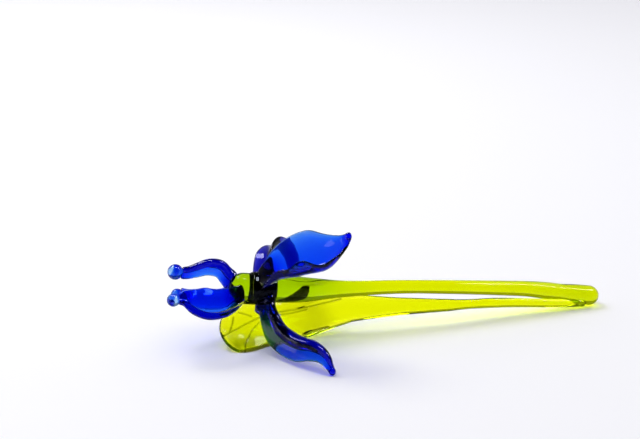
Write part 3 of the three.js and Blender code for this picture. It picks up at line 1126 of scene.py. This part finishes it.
@dataclass
class Crease:
    """A line pressed into the leaf's upper face: its half width, and points as mm along X and across."""

    width: float
    points: list[tuple[float, float]]

    def mark(self, x: Array, across: Array) -> Array:
        """How strongly the crease marks each point: exp(-(d / width)²) at the distance d from its line.

        Args:
            x: mm along X.
            across: mm across from the middle.

        Returns:
            Values from 0 to 1.
        """
        start = np.array(self.points[:-1], float)
        run = np.diff(np.array(self.points, float), axis=0)
        off = np.stack([x, across], -1)[..., None, :] - start
        part = np.clip((off * run).sum(-1) / (run**2).sum(-1), 0.0, 1.0)
        away = np.linalg.norm(off - part[..., None] * run, axis=-1).min(-1)
        return np.exp(-((away / self.width) ** 2))


@dataclass
class Leaf:
    """The pressed blade that runs from the stem's foot to a round paddle on the table; sizes in mm.

    The paddle's end is rounded over near_round and far_round on its two sides, and the table presses its near
    edge flat by edge_dip. The creases start at the upper face's edges, the faster the higher face_fade is.
    """

    paddle_half: float = 14.0
    foot_half: float = 2.0
    thickness: float = 4.4
    near_round: float = 12.0
    far_round: float = 15.0
    fold: float = 1.2
    edge_dip: float = 0.5
    tilt: float = 36.0
    crease_depth: float = 0.6
    face_fade: float = 4.0
    foot_steps: int = 90
    paddle_steps: int = 230
    sides: int = 160

    def creases(self) -> list[Crease]:
        """The midrib, two veins on its far side, two on its near side, a short one and the pinched edge.

        Returns:
            One crease each.
        """
        return [
            Crease(0.5, [(-21, -4), (-16, -1.5), (-9, 1.5), (-2, 3), (8, 3.5), (20, 3), (30, 4), (40, 5)]),
            Crease(0.5, [(-14, 6), (-15, 2.5), (-17, -1.5)]),
            Crease(0.45, [(-11, 8.5), (-8, 7), (-5, 5)]),
            Crease(0.45, [(-1.5, 0.5), (-6, -2.5), (-8.5, -5.5), (-10.5, -9), (-11.5, -14)]),
            Crease(0.4, [(-3.5, -0.5), (-7, -3.5), (-8.5, -6.5)]),
            Crease(0.45, [(9, 2), (15, 1.5), (23, 2)]),
            Crease(0.7, [(19, -11), (25, -9.5), (31.5, -8.5)]),
        ]

    def sections(self) -> Array:
        """Rows of x, y, z of the middle, half width and tilt in degrees, from the foot to the paddle's end.

        Returns:
            One row per section.
        """
        wide, foot = self.paddle_half, self.foot_half
        height = wide * math.sin(math.radians(self.tilt)) - self.edge_dip
        return np.array([
            (170, -3.6, 2.6, foot, 80),
            (153, -3.4, 4, foot * 1.1, 84),
            (123, -3, 7.3, foot * 1.25, 80),
            (95, -3.8, 9.3, foot * 1.55, 66),
            (69, -2.4, 10.8, foot * 2.2, 66),
            (44, -0.4, 11.6, wide * 0.49, 62),
            (34, 1, 10.6, wide * 0.64, 50),
            (21.5, 2.8, 9.3, wide * 0.88, 40),
            (2, 1.7, height, wide, self.tilt),
            (-8, -2, height, wide, self.tilt),
            (-21.5, -2.5, height, wide, self.tilt),
        ])

    def places(self, rows: int) -> Array:
        """Where the rings lie, counted in rows: crowded towards the foot on a cosine and towards the paddle's
        end on a sine.

        Args:
            rows: how many rows there are.

        Returns:
            One place per ring.
        """
        foot = 1.0 - np.cos(np.pi / 2 * np.arange(1, self.foot_steps + 1) / self.foot_steps)
        paddle = 1.0 + np.sin(np.pi / 2 * np.arange(1, self.paddle_steps) / self.paddle_steps)
        return np.concatenate([foot, paddle]) * (rows - 1) / 2

    def build(self) -> None:
        """Builds and dresses the blade's skin: a lens section, folded along the midrib, that turns from on
        edge to lying, with a round end and pressed creases, which are darkened with painted shade.
        """
        rows = self.sections()
        places = self.places(len(rows))
        middle = catmull_rom(rows[:, :3], places)
        start, end = catmull_rom(rows[:, :3], np.array([0.0, len(rows) - 1.0]))
        sizes = np.column_stack([rows[:, 3:], np.zeros(len(rows))])
        half, tilt = catmull_rom(sizes, places)[:, :2].T
        lean, level = np.radians(tilt), np.zeros_like(tilt)
        facing = np.stack([level, -np.sin(lean), np.cos(lean)], -1)
        across = np.stack([level, np.cos(lean), np.sin(lean)], -1)
        angle = full_turn(self.sides)
        out, up = np.cos(angle)[None], np.sin(angle)[None]
        to_end = np.linalg.norm(middle - end, axis=1)[:, None]
        shape = np.where(out > 0, round_end(to_end, self.far_round), round_end(to_end, self.near_round))
        shape = shape * round_end(np.linalg.norm(middle - start, axis=1), self.foot_half)[:, None]
        spread = half[:, None] * shape * out
        x = np.broadcast_to(middle[:, :1], spread.shape)
        marks = np.max([crease.mark(x, spread) for crease in self.creases()], axis=0)
        marks = marks * np.clip(self.face_fade * up, 0.0, 1.0)
        fold = (self.fold * half / self.paddle_half)[:, None] * shape * (np.abs(out) - 1.0)
        rise = self.thickness / 2 * np.sqrt(shape) * up + fold - self.crease_depth * marks
        points = middle[:, None] + across[:, None] * spread[..., None] + facing[:, None] * rise[..., None]
        piece = closed_skin("leaf_glass", start, points, end)
        # painted shade: the crease marks darken the glass in the creases
        set_attribute(piece, Attribute.RIM, marks)
        settle(piece, "leaf", GREEN)


@dataclass(frozen=True)
class SoftBox:
    """A square lamp that faces a point, in metres of the row frame and watts per square metre."""

    name: str
    place: Point
    aim: Point
    side: float
    strength: float
    hidden_from: tuple[str, ...] = ()

    def build(self) -> None:
        """Sets up the lamp: tipped from straight down to its aim's angle, then turned round the vertical."""
        data = bpy.data.lights.new(self.name, "AREA")
        data.shape = "SQUARE"
        data.size = self.side
        data.energy = self.strength * self.side**2
        lamp = bpy.data.objects.new(self.name, data)
        lamp.location = self.place
        way = np.subtract(self.aim, self.place)
        lamp.rotation_euler = (math.acos(-way[2] / np.linalg.norm(way)), 0.0, math.atan2(-way[0], way[1]))
        for kind in self.hidden_from:
            setattr(lamp, "visible_" + kind, False)
        bpy.context.scene.collection.objects.link(lamp)


KEY = SoftBox("key", (-0.5, 0.7, 1.1), (-0.05, 0.0, 0.0), 0.6, 25.0)
GLINT_MIDDLE = SoftBox("glint_middle", (0.1, 0.05, 1.0), (0.0, 0.0, 0.0), 0.3, 55.0, ("diffuse",))
GLINT_RIGHT = SoftBox("glint_right", (0.62, -0.08, 0.78), (0.0, 0.0, 0.0), 0.3, 55.0, ("diffuse",))
CARD = SoftBox(
    "card", (-0.31, 0.0, 0.055), (-0.06, -0.03, 0.01), 0.12, 5.0, ("camera", "diffuse", "transmission")
)


@dataclass
class Studio:
    """The pale table, the soft light and the camera.

    The camera's place is in mm of the bench, and its turn to the right is a slope. Glass mirrors the table
    dimmed to table_mirrored, shows the room dimmed to room_mirrored and mirrors it dimmed to that squared.
    The room dims over the heights overhead and brightens over the depths behind, both of a direction.
    """

    camera_place: Point = (-105.7, -525.2, 248.0)
    pitch: float = 19.2
    turned: float = 0.2563
    lens: float = 67.5
    sensor: float = 36.0
    clip_start: float = 0.01
    table_half: float = 4.0
    table_colour: Point = (0.92, 0.92, 0.925)
    table_mirrored: float = 0.45
    room_mirrored: float = 0.4
    room_pale: Point = (0.97, 0.98, 1.0)
    room_dark: Point = (0.45, 0.4, 0.8)
    room_dimmest: float = 0.12
    overhead: tuple[float, float] = (0.3, 0.9)
    behind: tuple[float, float] = (-0.5, 0.3)
    sky_strength: float = 1.6
    sky_angle: float = 80.0
    sky_lean: tuple[float, float] = (-3.0, 8.0)
    boxes: tuple[SoftBox, ...] = (KEY, GLINT_MIDDLE, GLINT_RIGHT, CARD)

    def camera(self) -> None:
        """The camera at the photographed angle, level and looking down."""
        data = bpy.data.cameras.new("view")
        data.sensor_width = self.sensor
        data.sensor_fit = "HORIZONTAL"
        data.lens = self.lens
        data.clip_start = self.clip_start
        camera = bpy.data.objects.new("view", data)
        camera.location = to_row(np.array(self.camera_place))
        camera.rotation_euler = (math.radians(90.0 - self.pitch), 0.0, -math.atan(self.turned))
        bpy.context.scene.collection.objects.link(camera)
        bpy.context.scene.camera = camera

    def table(self) -> None:
        """The table: one large matte pale plane, which the glass mirrors a little darker."""
        corners = np.array([(-1, -1, 0), (1, -1, 0), (1, 1, 0), (-1, 1, 0)]) * self.table_half
        table = new_object("table", corners, [[0, 1, 2, 3]])
        made = bpy.data.materials.new("table_look")
        made.use_nodes = True
        nodes = Nodes(made.node_tree)
        skin = made.node_tree.nodes["Principled BSDF"]
        skin.inputs["Specular IOR Level"].default_value = 0.0
        tone = nodes.mix(self.table_colour, tuple(self.table_mirrored * c for c in self.table_colour))
        _, mirrored = nodes.mirrored()
        nodes.wire((mirrored, "Value", tone, "Factor"), (tone, "Result", skin, "Base Color"))
        table.data.materials.append(made)

    def sky(self) -> None:
        """An even soft light from above, a little from behind, which glass neither mirrors nor shows."""
        data = bpy.data.lights.new("sky", "SUN")
        data.energy = self.sky_strength
        data.angle = math.radians(self.sky_angle)
        lamp = bpy.data.objects.new("sky", data)
        lamp.rotation_euler = (*(math.radians(lean) for lean in self.sky_lean), 0.0)
        lamp.visible_glossy = lamp.visible_transmission = False
        bpy.context.scene.collection.objects.link(lamp)

    def room(self) -> None:
        """A pale room, bright low down and behind the flower, dim and bluish overhead and near the viewer.
        Its brightness is a smooth step over the direction's height times one over its depth, times the share
        mirrored to the power of 1 where glass shows it and 2 where glass mirrors it.
        """
        room = bpy.data.worlds.new("room")
        bpy.context.scene.world = room
        room.use_nodes = True
        nodes = Nodes(room.node_tree)
        shade = room.node_tree.nodes["Background"]
        way, parts = nodes.add("TexCoord"), nodes.add("SeparateXYZ")
        nodes.wire((way, "Generated", parts, "Vector"))
        bright = nodes.maths("MULTIPLY")
        steps = (("Z", self.overhead, (1.0, self.room_dimmest)), ("Y", self.behind, (self.room_dimmest, 1.0)))
        for number, (axis, (start, stop), (low, high)) in enumerate(steps):
            limits = {"From Min": start, "From Max": stop, "To Min": low, "To Max": high}
            step = nodes.add("MapRange", limits)
            step.interpolation_type = "SMOOTHSTEP"
            nodes.wire((parts, axis, step, "Value"), (step, "Result", bright, number))
        path, mirrored = nodes.mirrored()
        power, share, dim = (nodes.maths(name) for name in ("ADD", "POWER", "MULTIPLY"))
        share.inputs[0].default_value = self.room_mirrored
        hue = nodes.mix(self.room_dark, self.room_pale)
        nodes.wire(
            (path, "Is Glossy Ray", power, 0),
            (mirrored, "Value", power, 1),
            (power, "Value", share, 1),
            (bright, "Value", dim, 0),
            (share, "Value", dim, 1),
            (bright, "Value", hue, "Factor"),
            (hue, "Result", shade, "Color"),
            (dim, "Value", shade, "Strength"),
        )

    def build(self) -> None:
        """Sets up the camera, the table, the light and how far rays are followed through the glass."""
        self.camera()
        self.table()
        self.room()
        for box in self.boxes:
            box.build()
        self.sky()
        scene = bpy.context.scene
        scene.view_settings.view_transform = "Standard"
        scene.cycles.max_bounces = 24
        scene.cycles.transmission_bounces = 20
        scene.cycles.glossy_bounces = 8
        scene.cycles.transparent_max_bounces = 24


def main() -> None:
    """Builds the iris around the frame, then the studio."""
    logging.basicConfig(level=logging.INFO, format="%(name)s: %(message)s")
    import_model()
    stem = Stem()
    stem.build()
    Leaf().build()
    Collar().build(stem)
    Flower().build()
    Studio().build()


if __name__ == "__main__":
    main()
